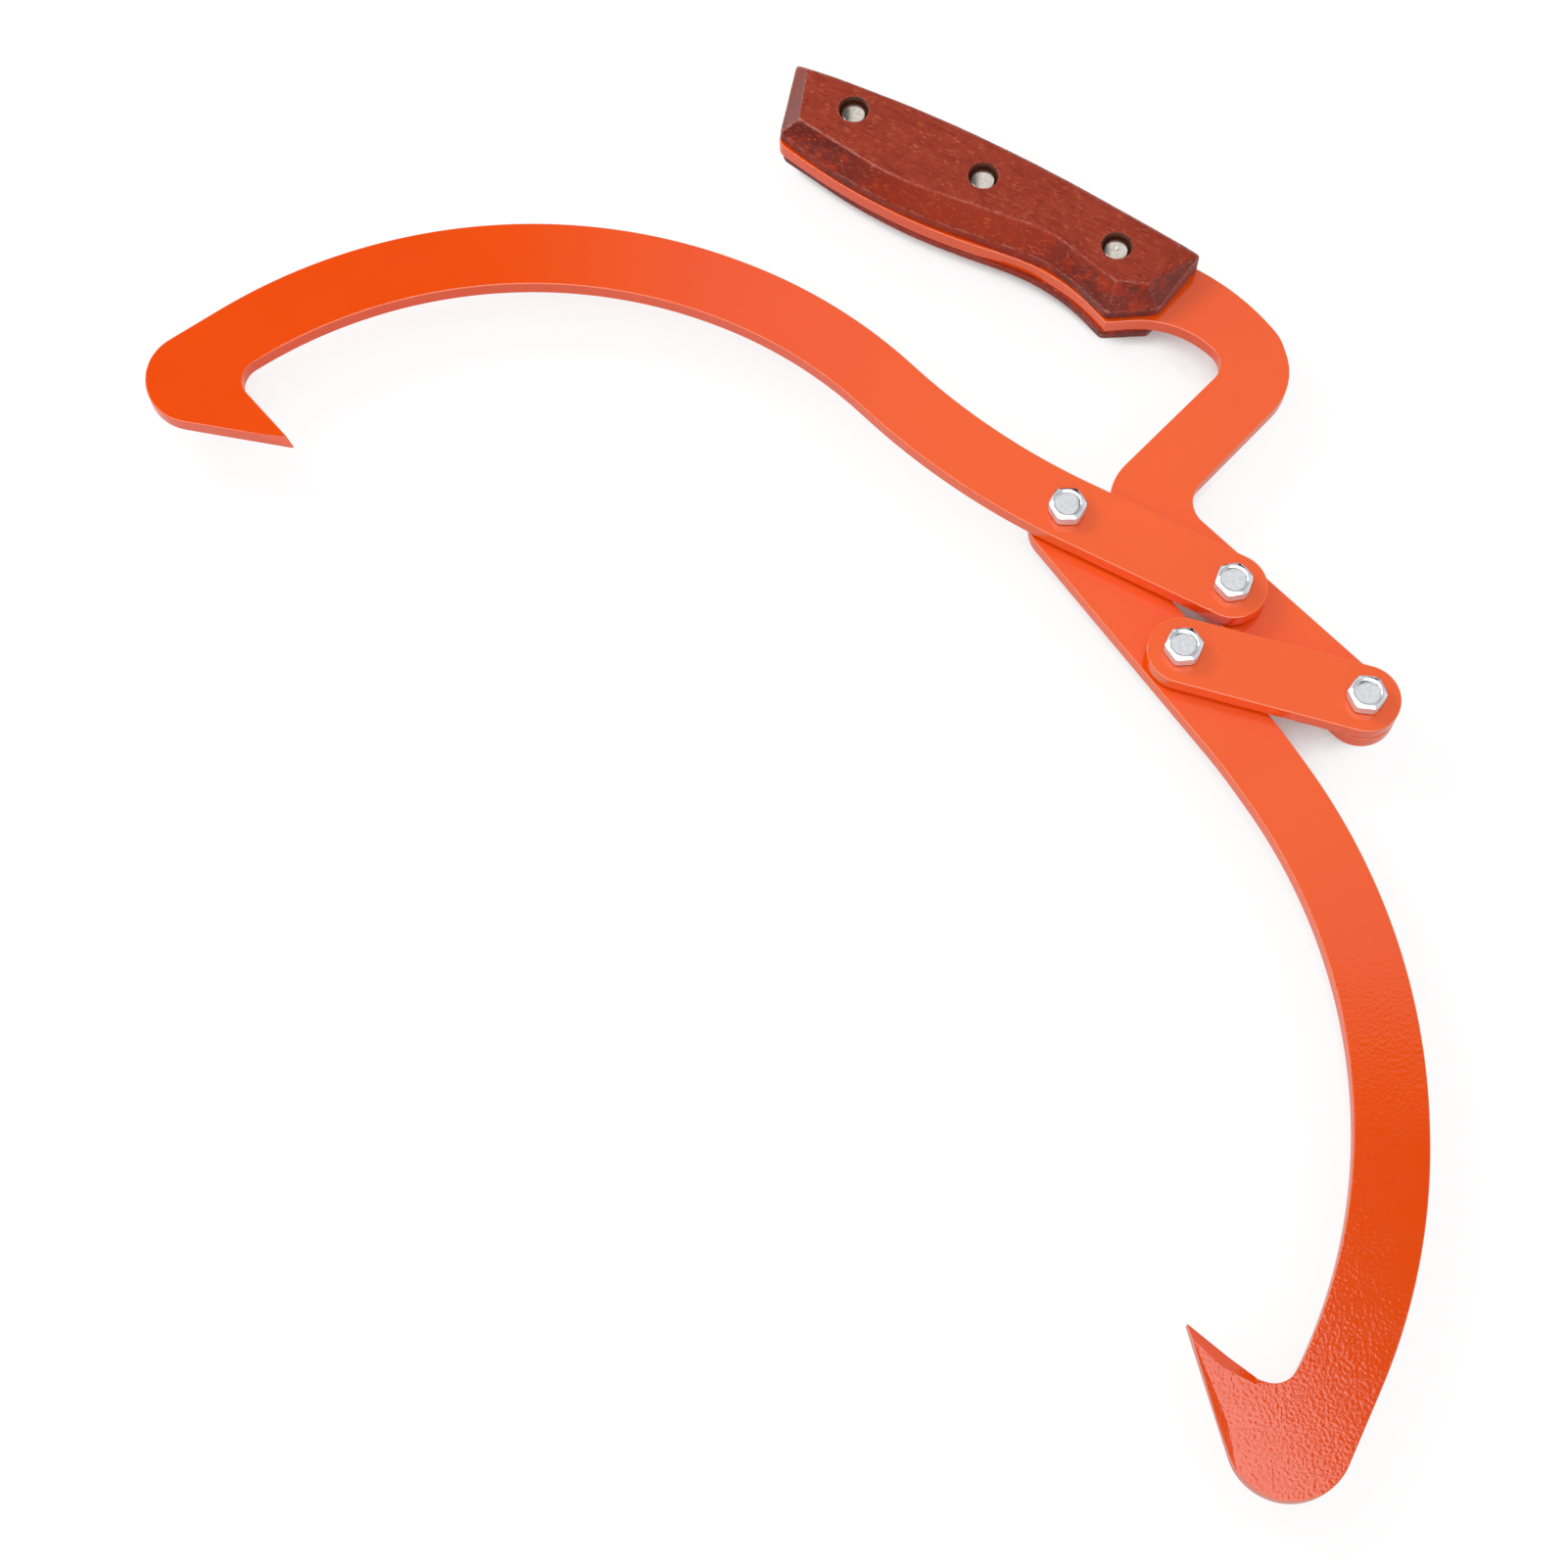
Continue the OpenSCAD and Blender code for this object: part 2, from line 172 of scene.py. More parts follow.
class Tree:
    """A node tree while it is written."""

    def __init__(self, owner: bpy.types.Material | bpy.types.World) -> None:
        """Empties the owner's node tree."""
        owner.use_nodes = True
        self.tree = owner.node_tree
        self.tree.nodes.clear()

    def link(self, source: bpy.types.NodeSocket, target: bpy.types.NodeSocket) -> None:
        """Joins two sockets."""
        self.tree.links.new(source, target)

    def node(
        self, kind: str, settings: dict[str, object] | None = None,
        inputs: dict[str | int, object] | None = None,
    ) -> bpy.types.Node:
        """Adds a node.

        Args:
            kind: The node's type.
            settings: Properties that are set first.
            inputs: Values, colours, sockets or Values by socket name or number.

        Returns:
            The new node.
        """
        node = self.tree.nodes.new(kind)
        for key, value in (settings or {}).items():
            setattr(node, key, value)
        for key, value in (inputs or {}).items():
            self.feed(node.inputs[key], value)
        return node

    def feed(self, socket: bpy.types.NodeSocket, value: object) -> None:
        """Gives a socket a value or a link.

        Args:
            socket: The input to fill.
            value: A Value, a socket, a number, a vector or a colour.
        """
        if isinstance(value, Value):
            value = value.socket
        if isinstance(value, bpy.types.NodeSocket):
            self.link(value, socket)
        elif socket.type == "RGBA" and len(value) == 3:
            socket.default_value = (*value, 1.0)
        else:
            socket.default_value = value

    def place(
        self, centre: Iterable[float] = (0, 0, 0), turn: float = 0.0, stretch: Iterable[float] = (1, 1, 1)
    ) -> bpy.types.NodeSocket:
        """Gives Object coordinates in millimetres.

        Args:
            centre: The point in millimetres that becomes the origin.
            turn: Angle in degrees that the pattern is turned by about Z.
            stretch: How far the pattern is stretched along each of its own axes.

        Returns:
            The vector socket.
        """
        place = self.node("ShaderNodeTexCoord").outputs["Object"]
        centred = self.node(
            "ShaderNodeMapping", {"vector_type": "POINT"},
            {"Vector": place, "Location": [-c for c in centre], "Scale": (1 / MM, 1 / MM, 1 / MM)},
        )
        turned = self.node(
            "ShaderNodeMapping", {"vector_type": "POINT"},
            {"Vector": centred.outputs[0], "Rotation": (0, 0, -math.radians(turn))},
        )
        return self.node(
            "ShaderNodeVectorMath", {"operation": "DIVIDE"}, {0: turned.outputs[0], 1: tuple(stretch)}
        ).outputs[0]

    def noise(self, at: bpy.types.NodeSocket, size: float, detail: float = 2.0, rough: float = 0.5) -> Value:
        """Soft random levels about 0.5.

        Args:
            at: The position in millimetres.
            size: Size of the spots in millimetres.
            detail: Number of finer layers.
            rough: Weight of the finer layers.

        Returns:
            The level.
        """
        node = self.node(
            "ShaderNodeTexNoise", {"noise_dimensions": "3D"},
            {"Vector": at, "Scale": 1 / size, "Detail": detail, "Roughness": rough},
        )
        return Value(self, node.outputs["Fac"])

    def distance(self, at: bpy.types.NodeSocket) -> Value:
        """Returns how far a position lies from its origin."""
        length = self.node("ShaderNodeVectorMath", {"operation": "LENGTH"}, {0: at})
        return Value(self, length.outputs["Value"])

    def axis(self, at: bpy.types.NodeSocket, letter: str) -> Value:
        """Returns one coordinate of a position."""
        return Value(self, self.node("ShaderNodeSeparateXYZ", None, {0: at}).outputs[letter])

    def attribute(self, name: str) -> Value:
        """Returns a number that the mesh carries."""
        return Value(self, self.node("ShaderNodeAttribute", {"attribute_name": name}).outputs["Fac"])

    def mix(self, first: object, second: object, share: Value | float) -> bpy.types.NodeSocket:
        """Mixes two colours.

        Args:
            first: The colour at share 0.
            second: The colour at share 1.
            share: The share of the second.

        Returns:
            The mixed colour's socket.
        """
        node = self.node("ShaderNodeMix", {"data_type": "RGBA", "clamp_factor": True})
        self.feed(node.inputs[0], share)
        self.feed(node.inputs[6], first)
        self.feed(node.inputs[7], second)
        return node.outputs[2]


class Recipe(Tree):
    """A surface's finish: a Principled shader and what feeds it."""

    def __init__(self, name: str) -> None:
        """Starts a material with a Principled shader on its output.

        Args:
            name: The material's name.
        """
        self.material = bpy.data.materials.new(name)
        super().__init__(self.material)
        self.output = self.node("ShaderNodeOutputMaterial")
        self.shader = self.node("ShaderNodeBsdfPrincipled")
        self.link(self.shader.outputs["BSDF"], self.output.inputs["Surface"])

    def set(self, **inputs: object) -> None:
        """Fills sockets of the Principled shader; an underscore in a name stands for a space.

        Args:
            **inputs: Values by socket name.
        """
        for key, value in inputs.items():
            self.feed(self.shader.inputs[key.replace("_", " ")], value)

    def bump(self, height: Value, depth: float) -> None:
        """Feeds a relief into the shader's normal.

        Args:
            height: The relief from 0 to 1.
            depth: What 1 stands for, in millimetres.
        """
        node = self.node("ShaderNodeBump", None, {"Height": height, "Distance": depth * MM, "Strength": 1.0})
        self.set(Normal=node.outputs[0])


# Finishes


@dataclass(frozen=True)
class PowderCoat:
    """Glossy orange powder coat on steel plate.

    Attributes:
        name: The material's name.
        tone: Its usual colour.
        pale: Its colour in broad paler patches, and a painted sheen near the pivots.
        thin_paint_and_highlight: Its colour on the edges, where the paint is thinner, with a painted
            highlight on them.
        deep: Its colour toward the lower hook, a painted shade.
        dust: Colour of the specks in it.
        pivots: The middle of the pivots, toward which the sheen is painted, in millimetres.
        nick: A nick in the upper arm's edge, in millimetres.
        pimple: A pimple on the lower hook, in millimetres.
        peel_size: Size of the orange peel in millimetres.
        peel_depth: Depth of the orange peel in millimetres.
    """

    name: str
    tone: Colour = linear(242, 77, 5)
    pale: Colour = linear(251, 93, 6)
    thin_paint_and_highlight: Colour = linear(255, 138, 78)
    deep: Colour = linear(206, 66, 8)
    dust: Colour = linear(120, 40, 20)
    pivots: Point = (150, 60, 18)
    nick: Point = (145.4, 38.1, 25)
    pimple: Point = (157.1, -220.5, 18)
    peel_size: float = 1.2
    peel_depth: float = 0.03

    def material(self) -> bpy.types.Material:
        """Writes the coat: broad changes of tone, a painted sheen toward the pivots, thinner paint and a
        painted highlight on the edges, painted shade toward the lower hook, orange peel and specks of dust.
        """
        recipe = Recipe(self.name)
        at = recipe.place()
        patches = recipe.noise(at, 60.0, 1.0).step(0.35, 0.65)
        # Painted sheen: the coat turns paler toward the pivots.
        sheen_toward_pivots = recipe.distance(recipe.place(self.pivots)).step(230.0, 20.0)
        tone = recipe.mix(self.tone, self.pale, patches * 0.2 + sheen_toward_pivots * 0.8)
        # Thinner paint on the edges, with a painted highlight on them.
        tone = recipe.mix(tone, self.thin_paint_and_highlight, recipe.attribute("edge") * 0.35)
        specks = recipe.noise(at, 1.1, 1.0).step(0.79, 0.83) * recipe.noise(at, 17.0).step(0.5, 0.6)
        tone = recipe.mix(tone, self.dust, specks * 0.6)
        downward = recipe.axis(at, "Y").step(20.0, -150.0)
        pimple = recipe.distance(recipe.place(self.pimple)).step(0.8, 0.2)
        nick = recipe.distance(recipe.place(self.nick, -25.0, (1.6, 1, 1))).step(0.9, 0.3)
        relief = recipe.noise(at, self.peel_size, 1.0) * (downward * 0.95 + 0.1) + pimple * 4 - nick * 8
        # Painted shade: the coat darkens toward the lower hook.
        tone = recipe.mix(tone, self.deep, recipe.axis(at, "Y").step(-100.0, -220.0) * 0.25)
        recipe.bump(relief + recipe.noise(at, 16.0) * 0.6, self.peel_depth)
        recipe.set(Base_Color=tone, Roughness=recipe.noise(at, 9.0).step(0.2, 0.8) * 0.04 + 0.06, IOR=1.55)
        return recipe.material


@dataclass(frozen=True)
class StainedWood:
    """Reddish brown stained hardwood with short pale flecks along its grain.

    Attributes:
        name: The material's name.
        middle: A point on the grip, in millimetres.
        grain_turn: Angle of the grain in degrees.
        stain: Colour of the flat faces.
        deep: Colour of the darker streaks.
        ember: Colour of the sloping faces, where the stain soaked in.
        soaked: Colour of the darker blotches on them.
        fleck: Colour of the flecks.
        pore: Colour of the pores.
        worn: Colour of the rubbed edges.
        end_grain_and_highlight: Colour of the cut ends, and of a painted highlight along the back's edge.
        hole_shade: Colour of the rivet holes' walls, a painted shade.
    """

    name: str
    middle: Point = (76, 198, 20)
    grain_turn: float = -31.0
    stain: Colour = linear(162, 60, 40)
    deep: Colour = linear(130, 40, 26)
    ember: Colour = linear(164, 48, 18)
    soaked: Colour = linear(98, 34, 30)
    fleck: Colour = linear(214, 112, 72)
    pore: Colour = linear(70, 22, 18)
    worn: Colour = linear(204, 132, 120)
    end_grain_and_highlight: Colour = linear(136, 92, 88)
    hole_shade: Colour = linear(84, 42, 28)

    def material(self) -> bpy.types.Material:
        """Writes the stain, streaks, blotches, flecks, cut ends, a painted highlight along the back's edge,
        rubbed edges and painted shade in the rivet holes.
        """
        recipe = Recipe(self.name)
        turned = recipe.place(self.middle, self.grain_turn)
        along = recipe.place(self.middle, self.grain_turn, (5, 1, 1))
        short = recipe.place(self.middle, self.grain_turn, (3, 1, 1))
        # end carries the cut ends and the painted highlight along the back's edge.
        slope, end = recipe.attribute("slope"), recipe.attribute("cut_end_and_highlight")
        streaks = recipe.noise(along, 1.3, 4.0, 0.65)
        blotches = recipe.noise(turned, 5.5, 3.0, 0.6)
        faded = streaks.step(0.25, 0.6) * 0.7 + blotches.step(0.3, 0.7) * 0.3
        tone = recipe.mix(self.deep, self.stain, faded)
        far_out = recipe.distance(recipe.place(self.middle, self.grain_turn, (1, 4, 4))).step(15.0, 52.0)
        sloping = recipe.mix(self.ember, self.soaked, blotches.step(0.3, 0.56) * (far_out * 0.8 + 0.2))
        tone = recipe.mix(tone, sloping, slope * 0.85)
        dashes = recipe.noise(recipe.place(self.middle, self.grain_turn, (4, 0.8, 0.8)), 0.45, 0.0)
        flecks = dashes.step(0.6, 0.74) * recipe.noise(turned, 3.0).step(0.35, 0.65)
        tone = recipe.mix(tone, self.fleck, flecks * 0.55)
        narrow = recipe.place(self.middle, self.grain_turn, (5, 0.6, 0.6))
        pores = recipe.noise(narrow, 0.6, 1.0).step(0.66, 0.76)
        tone = recipe.mix(tone, self.pore, pores * 0.5)
        # Cut ends, and a painted highlight along the back's edge.
        tone = recipe.mix(tone, self.end_grain_and_highlight, end * 0.8)
        rubbed = recipe.attribute("worn") * recipe.noise(short, 0.8, 2.0).step(0.34, 0.56)
        tone = recipe.mix(tone, self.worn, rubbed * (blotches.step(0.35, 0.6) * 0.5 + 0.35))
        # Painted shade on the rivet holes' walls.
        tone = recipe.mix(tone, self.hole_shade, recipe.attribute("hole"))
        recipe.set(
            Base_Color=tone, Roughness=streaks * 0.16 + end * 0.2 + 0.3, IOR=1.45, Specular_IOR_Level=0.16
        )
        recipe.bump(streaks - pores * 0.5, 0.09)
        return recipe.material


@dataclass(frozen=True)
class PlatedMetal:
    """Bright plated metal with faint dull patches.

    Attributes:
        name: The material's name.
        bright: Its colour.
        dull: The colour of its duller patches.
        stain: The colour of small stains; the edges are darkened with it too.
        rough: Its least roughness.
        spread: How much rougher its dull patches are.
    """

    name: str
    bright: Colour = linear(224, 225, 228)
    dull: Colour = linear(200, 202, 207)
    stain: Colour = linear(120, 118, 116)
    rough: float = 0.1
    spread: float = 0.12

    def material(self) -> bpy.types.Material:
        """Writes the plating: crystal patches, small stains, darker edges, duller upright faces and a fine
        grain.
        """
        recipe = Recipe(self.name)
        at = recipe.place()
        patches = recipe.noise(at, 1.3, 3.0, 0.6).step(0.35, 0.62) * 0.5
        stains = recipe.noise(at, 0.7, 2.0).step(0.66, 0.76) * recipe.noise(at, 3.1).step(0.45, 0.65)
        facing = recipe.node("ShaderNodeNewGeometry").outputs["Normal"]
        upright = recipe.axis(facing, "Z").most(recipe.axis(facing, "Z") * -1).step(0.6, 0.2)
        tone = recipe.mix(recipe.mix(self.bright, self.dull, patches), self.stain, stains * 0.6)
        recipe.set(
            # The edges are darkened with the same colour.
            Base_Color=recipe.mix(tone, self.stain, recipe.attribute("edge") * 0.4),
            Metallic=1 - upright * 0.45,
            Roughness=patches * self.spread + stains * 0.2 + upright * 0.28 + self.rough,
        )
        recipe.bump(recipe.noise(at, 0.8, 2.0) + patches * 0.4, 0.006)
        return recipe.material


@dataclass(frozen=True)
class Nylon:
    """Blue nylon of the rings in the lock nuts.

    Attributes:
        name: The material's name.
        tone: Its usual colour.
        pressed: Its colour where the thread pressed it.
    """

    name: str
    tone: Colour = linear(44, 92, 180)
    pressed: Colour = linear(96, 140, 206)

    def material(self) -> bpy.types.Material:
        """Writes the nylon, paler where the thread pressed it."""
        recipe = Recipe(self.name)
        mottle = recipe.noise(recipe.place(), 0.8, 2.0)
        recipe.set(
            Base_Color=recipe.mix(self.tone, self.pressed, mottle.step(0.45, 0.75)),
            Roughness=mottle * 0.2 + 0.36,
        )
        recipe.bump(mottle, 0.02)
        return recipe.material


# Meshes


@dataclass(frozen=True)
class Hexagon:
    """A hexagon with softened corners.

    Attributes:
        flats: Width across its flats in millimetres.
        turn: Angle of its first corner in degrees.
        corner: Radius that its corners are turned down to, in millimetres.
        cone: Slope of the cone that chamfers it, in degrees.
        blend: How sharply its sides pass into its turned corners.
    """

    flats: float
    turn: float
    corner: float
    cone: float = 30.0
    blend: int = 40

    def reach(self, angle: float) -> float:
        """Returns how far its side lies from the middle at an angle in degrees."""
        side = self.flats / 2 / math.cos(math.radians((angle - self.turn) % 60 - 30))
        return (side ** -self.blend + self.corner ** -self.blend) ** (-1 / self.blend)

    def level(self, height: float, inset: float = 0.0) -> Ring:
        """Returns a ring that follows the sides, inset by some millimetres, at one height."""
        return lambda angle: (self.reach(angle) - inset, height)

    def under_cone(self, disc: float, height: float, down: int = 1) -> Ring:
        """Gives the ring where the sides meet the cone.

        Args:
            disc: Radius of the flat disc that the cone falls away from.
            height: Height of that disc.
            down: 1 where the cone falls, -1 where it rises.

        Returns:
            The ring.
        """
        slope = down * math.tan(math.radians(self.cone))
        return lambda angle: (self.reach(angle), height - (self.reach(angle) - disc) * slope)


class Mould:
    """A bmesh that becomes one piece."""

    def __init__(self) -> None:
        """Starts empty."""
        self.bm = bmesh.new()

    @classmethod
    def of_node(cls, name: str) -> "Mould":
        """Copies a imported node's mesh, with its doubles merged and its flats joined.

        Args:
            name: The node.

        Returns:
            The mould with the copy.
        """
        mould = cls()
        mould.bm.from_mesh(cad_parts[name].data)
        bmesh.ops.remove_doubles(mould.bm, verts=mould.bm.verts, dist=DOUBLES)
        bmesh.ops.dissolve_limit(
            mould.bm, angle_limit=math.radians(0.5), verts=mould.bm.verts, edges=mould.bm.edges
        )
        return mould

    @classmethod
    def turned(cls, centre: Vector, rings: Sequence[Ring], parts: int = 96, start: float = 0.0) -> "Mould":
        """Turns a piece ring by ring about a vertical axis.

        Args:
            centre: A point on the axis, in millimetres.
            rings: Radius and height of each ring, or a function that gives both at an angle in degrees. The
                first ring is filled unless the last one comes back to it.
            parts: Number of sides.
            start: Angle of the first corner in degrees.

        Returns:
            The mould with the piece.
        """
        mould = cls()
        hollow = rings[0] == rings[-1]
        turn = Matrix.Rotation(math.radians(start), 4, "Z")
        verts = bmesh.ops.create_circle(
            mould.bm, cap_ends=not hollow, cap_tris=not hollow, segments=parts, radius=1.0, matrix=turn
        )["verts"]
        edges = [edge for edge in mould.bm.edges if edge.is_boundary or edge.is_wire]
        mould._lay(verts, rings[0])
        for ring in rings[1:]:
            made = bmesh.ops.extrude_edge_only(mould.bm, edges=edges)["geom"]
            edges = [item for item in made if isinstance(item, bmesh.types.BMEdge) and item.is_boundary]
            mould._lay([item for item in made if isinstance(item, bmesh.types.BMVert)], ring)
        bmesh.ops.remove_doubles(mould.bm, verts=mould.bm.verts, dist=0.0005)
        place = Matrix.Translation(Vector((centre.x, centre.y, 0)) * MM) @ Matrix.Scale(MM, 4)
        bmesh.ops.transform(mould.bm, matrix=place, verts=mould.bm.verts)
        return mould

    @staticmethod
    def _lay(verts: Iterable[bmesh.types.BMVert], ring: Ring) -> None:
        """Moves a ring's vertices to its radius and height, and a middle vertex to its height."""
        for vert in verts:
            way = vert.co.xy.normalized()
            reach, height = ring(math.degrees(math.atan2(way.y, way.x))) if callable(ring) else ring
            vert.co = (way.x * reach, way.y * reach, height)

    def round_edges(self, radius: float, parts: int, sharper_than: float, above: float = -1.0) -> None:
        """Rounds the sharp edges and marks them for the finish.

        Args:
            radius: Width of the rounding in millimetres.
            parts: Number of strips across it.
            sharper_than: Least angle between two faces in degrees.
            above: Least height of the edges in millimetres.
        """
        edges = [
            edge for edge in self.bm.edges
            if len(edge.link_faces) == 2 and edge.calc_face_angle(0.0) > math.radians(sharper_than)
            and min(vert.co.z for vert in edge.verts) > above * MM
        ]
        made = bmesh.ops.bevel(
            self.bm, geom=edges, offset=radius * MM, offset_type="OFFSET", segments=parts, profile=0.5,
            affect="EDGES", clamp_overlap=False, material=-1,
        )
        mark = self.bm.verts.layers.float.new("edge")
        strips = set(made["faces"])
        for vert in {vert for face in strips for vert in face.verts}:
            if all(face in strips for face in vert.link_faces):
                vert[mark] = 1.0

    def cast(
        self, name: str, body: Body, slot: Slot, finish: bpy.types.Material, nodes: Sequence[str],
        sharp: float = 38.0, flatness: int = 50,
    ) -> bpy.types.Object:
        """Makes the piece.

        Args:
            name: The piece's name.
            body: The body that it rides on.
            slot: The record's slot of its finish; not used.
            finish: Its material.
            nodes: The nodes that it stands for.
            sharp: Angle in degrees from which an edge stays sharp.
            flatness: How strongly the larger faces keep their own direction, from 1 to 100.

        Returns:
            The new object.
        """
        bmesh.ops.recalc_face_normals(self.bm, faces=self.bm.faces)
        mesh = bpy.data.meshes.new(name)
        self.bm.to_mesh(mesh)
        self.bm.free()
        mesh.materials.append(finish)
        mesh.shade_smooth()
        mesh.set_sharp_from_angle(angle=math.radians(sharp))
        piece = bpy.data.objects.new(name, mesh)
        bpy.context.scene.collection.objects.link(piece)
        weighted = piece.modifiers.new("even_normals", "WEIGHTED_NORMAL")
        weighted.keep_sharp = True
        weighted.weight = flatness
        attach(piece, body.value)
        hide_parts(*nodes)
        LOG.info("%s: %d faces, rides on %s", name, len(mesh.polygons), body.value)
        return piece


# Sub-assemblies


@dataclass
class PaintedPlate:
    """One of the four orange plates, with the soft edges of painted steel.

    Attributes:
        node: The plate's node.
        body: The body that it rides on.
        edge_round: Width of the rounding of its painted edges in millimetres.
        strips: Number of strips across that rounding.
        sharp_from: Least angle in degrees of the edges that are rounded, above that of the ground faces.
        tip: Where the ground tip is in the node, and where the real one is, in millimetres.
    """

    node: str
    body: Body
    edge_round: float = 0.42
    strips: int = 5
    sharp_from: float = 62.0
    tip: tuple[Vector, Vector] | None = None

    def build(self, coat: bpy.types.Material) -> None:
        """Makes the plate and coats it.

        Args:
            coat: The coat's material.
        """
        mould = Mould.of_node(self.node)
        if self.tip:
            old, new = self.tip
            tip = min(mould.bm.verts, key=lambda vert: (vert.co / MM - old).length)
            bmesh.ops.translate(mould.bm, verts=[tip], vec=(new - old) * MM)
        mould.round_edges(self.edge_round, self.strips, self.sharp_from)
        name = f"{self.node}_painted"
        mould.cast(name, self.body, Slot.COAT, coat, [self.node], sharp=20.0, flatness=100)


@dataclass
class PivotSet:
    """The bolt, lock nut, nylon ring, washer and spacer at one pivot.

    Attributes:
        pivot: The pivot's name in its nodes.
        body: The body that the set rides on.
        turn: Angle of the hexagons' corners in degrees.
        head: Width of the bolt's head across its flats.
        head_height: Height of the bolt's head.
        head_corner: Radius that the head's corners are turned down to.
        disc: Radius of the flat disc on the head.
        dish: Depth of the dish in that disc.
        nut: Width of the nut across its flats.
        nut_corner: Radius that the nut's corners are turned down to.
        nut_disc: Radius of the nut's flat face.
        collar: Radius of the nut's round collar.
        collar_height: Height of that collar.
        bore: Radius of the nut's thread.
        insert: Outer radius of the nylon ring.
        shank: Radius of the bolt's shank.
        pitch: Pitch of the thread.
        thread_rings: Number of rings that shape the thread.
        rings_per_pitch: Number of those rings in one pitch.
        thread_depth: Depth of the thread.
        washer: Radius of the washer and the spacer.
    """

    pivot: str
    body: Body
    turn: float
    head: float = 11.5
    head_height: float = 5.3
    head_corner: float = 6.3
    disc: float = 4.85
    dish: float = 0.28
    nut: float = 13.0
    nut_corner: float = 7.15
    nut_disc: float = 6.2
    collar: float = 5.6
    collar_height: float = 1.5
    bore: float = 4.05
    insert: float = 5.2
    shank: float = 4.0
    pitch: float = 1.25
    thread_rings: int = 22
    rings_per_pitch: int = 8
    thread_depth: float = 0.5
    washer: float = 8.0

    def build(self, zinc: bpy.types.Material, nylon: bpy.types.Material) -> None:
        """Makes the set.

        Args:
            zinc: Material of the metal pieces.
            nylon: Material of the ring in the nut.
        """
        low, high = span(f"{self.pivot}_bolt")
        self.centre = (low + high) / 2
        self._cast("bolt", self._bolt(low.z, high.z), zinc)
        self._cast("nut", self._nut(*self._heights("nut")), zinc)
        for ring in ("washer", "spacer"):
            self._cast(ring, self._washer(*self._heights(ring)), zinc)
        self._cast("nut_insert", self._insert(*self._heights("nut_insert")), nylon, Slot.NYLON)

    def _heights(self, kind: str) -> tuple[float, float]:
        """Returns the lowest and highest point of one of the set's nodes in millimetres."""
        low, high = span(f"{self.pivot}_{kind}")
        return low.z, high.z

    def _cast(self, kind: str, mould: Mould, finish: bpy.types.Material, slot: Slot = Slot.ZINC) -> None:
        """Makes one piece of the set from its mould."""
        node = f"{self.pivot}_{kind}"
        mould.cast(f"{node}_fitted", self.body, slot, finish, [node])

    def _thread(self, height: float, low: float) -> Ring:
        """Returns a ring of the thread at a height, cut back at the bolt's end."""
        def ring(angle: float) -> tuple[float, float]:
            """Returns the thread's radius and height at an angle."""
            phase = (height / self.pitch - angle / 360) % 1.0
            groove = self.thread_depth * (0.5 + 0.5 * math.cos(2 * math.pi * phase)) ** 1.5
            return min(self.shank - 0.02 - groove, self.shank - 0.7 + (height - low)), height

        return ring

    def _bolt(self, low: float, high: float) -> Mould:
        """Shapes the bolt: threaded end, shank, washer face, hexagon and dished disc.

        Args:
            low: Height of the bolt's end.
            high: Height of the top of its head.

        Returns:
            The mould.
        """
        seat = high - self.head_height
        step = self.pitch / self.rings_per_pitch
        sides = Hexagon(self.head, self.turn, self.head_corner)
        rings: list[Ring] = [(self.shank - 0.85, low)]
        rings += [self._thread(low + step * (k + 0.3), low) for k in range(self.thread_rings)]
        rings += [
            (self.shank, low + step * (self.thread_rings + 2)), (self.shank, seat),
            (5.1, seat), (5.2, seat + 0.3),
            sides.level(seat + 0.3, 0.35), sides.level(seat + 0.55), sides.under_cone(self.disc, high),
            (self.disc, high), (self.disc - 0.35, high), (self.disc - 0.65, high - self.dish + 0.02),
            (2.5, high - self.dish), (0.0, high - self.dish),
        ]
        mould = Mould.turned(self.centre, rings, start=self.turn)
        mould.round_edges(0.13, 2, 22.0, above=seat + 0.2)
        return mould

    def _nut(self, low: float, high: float) -> Mould:
        """Shapes the lock nut: chamfered hexagon, collar, crimped lip and the seat of its ring.

        Args:
            low: Height of the crimped lip.
            high: Height of the flat face.

        Returns:
            The mould.
        """
        sides = Hexagon(self.nut, self.turn, self.nut_corner)
        ledge = low + self.collar_height
        lip = self.bore + 0.5
        rings: list[Ring] = [
            (self.bore, high - 0.35), (self.bore + 0.35, high), (self.nut_disc, high),
            sides.under_cone(self.nut_disc, high), sides.under_cone(self.nut_disc - 0.4, ledge, -1),
            (self.nut_disc - 0.45, ledge), (self.collar + 0.06, ledge - 0.15), (self.collar, ledge - 0.4),
            (self.collar, low + 0.55), (self.collar - 0.12, low + 0.22), (self.collar - 0.4, low + 0.03),
            (self.collar - 0.65, low), (lip + 0.1, low), (lip, low + 0.08), (lip, low + 0.3),
            (self.bore + 1.2, low + 0.3), (self.bore + 1.2, low + 2.3), (self.bore, low + 2.3),
            (self.bore, high - 0.35),
        ]
        mould = Mould.turned(self.centre, rings, start=self.turn)
        mould.round_edges(0.1, 2, 26.0)
        return mould

    def _washer(self, low: float, high: float) -> Mould:
        """Shapes a punched ring: one side's edge is rolled over, the other is crisp.

        Args:
            low: Height of its lower face.
            high: Height of its upper face.

        Returns:
            The mould.
        """
        inner, roll = self.shank + 0.2, (high - low) * 0.25
        rings: list[Ring] = [
            (inner, high - 0.1), (inner + 0.1, high),
            (self.washer - 0.08, high), (self.washer, high - 0.08), (self.washer, low + roll),
            (self.washer - roll * 0.3, low + roll * 0.3), (self.washer - roll, low),
            (inner + roll, low), (inner + roll * 0.3, low + roll * 0.3), (inner, low + roll),
            (inner, high - 0.1),
        ]
        return Mould.turned(self.centre, rings)

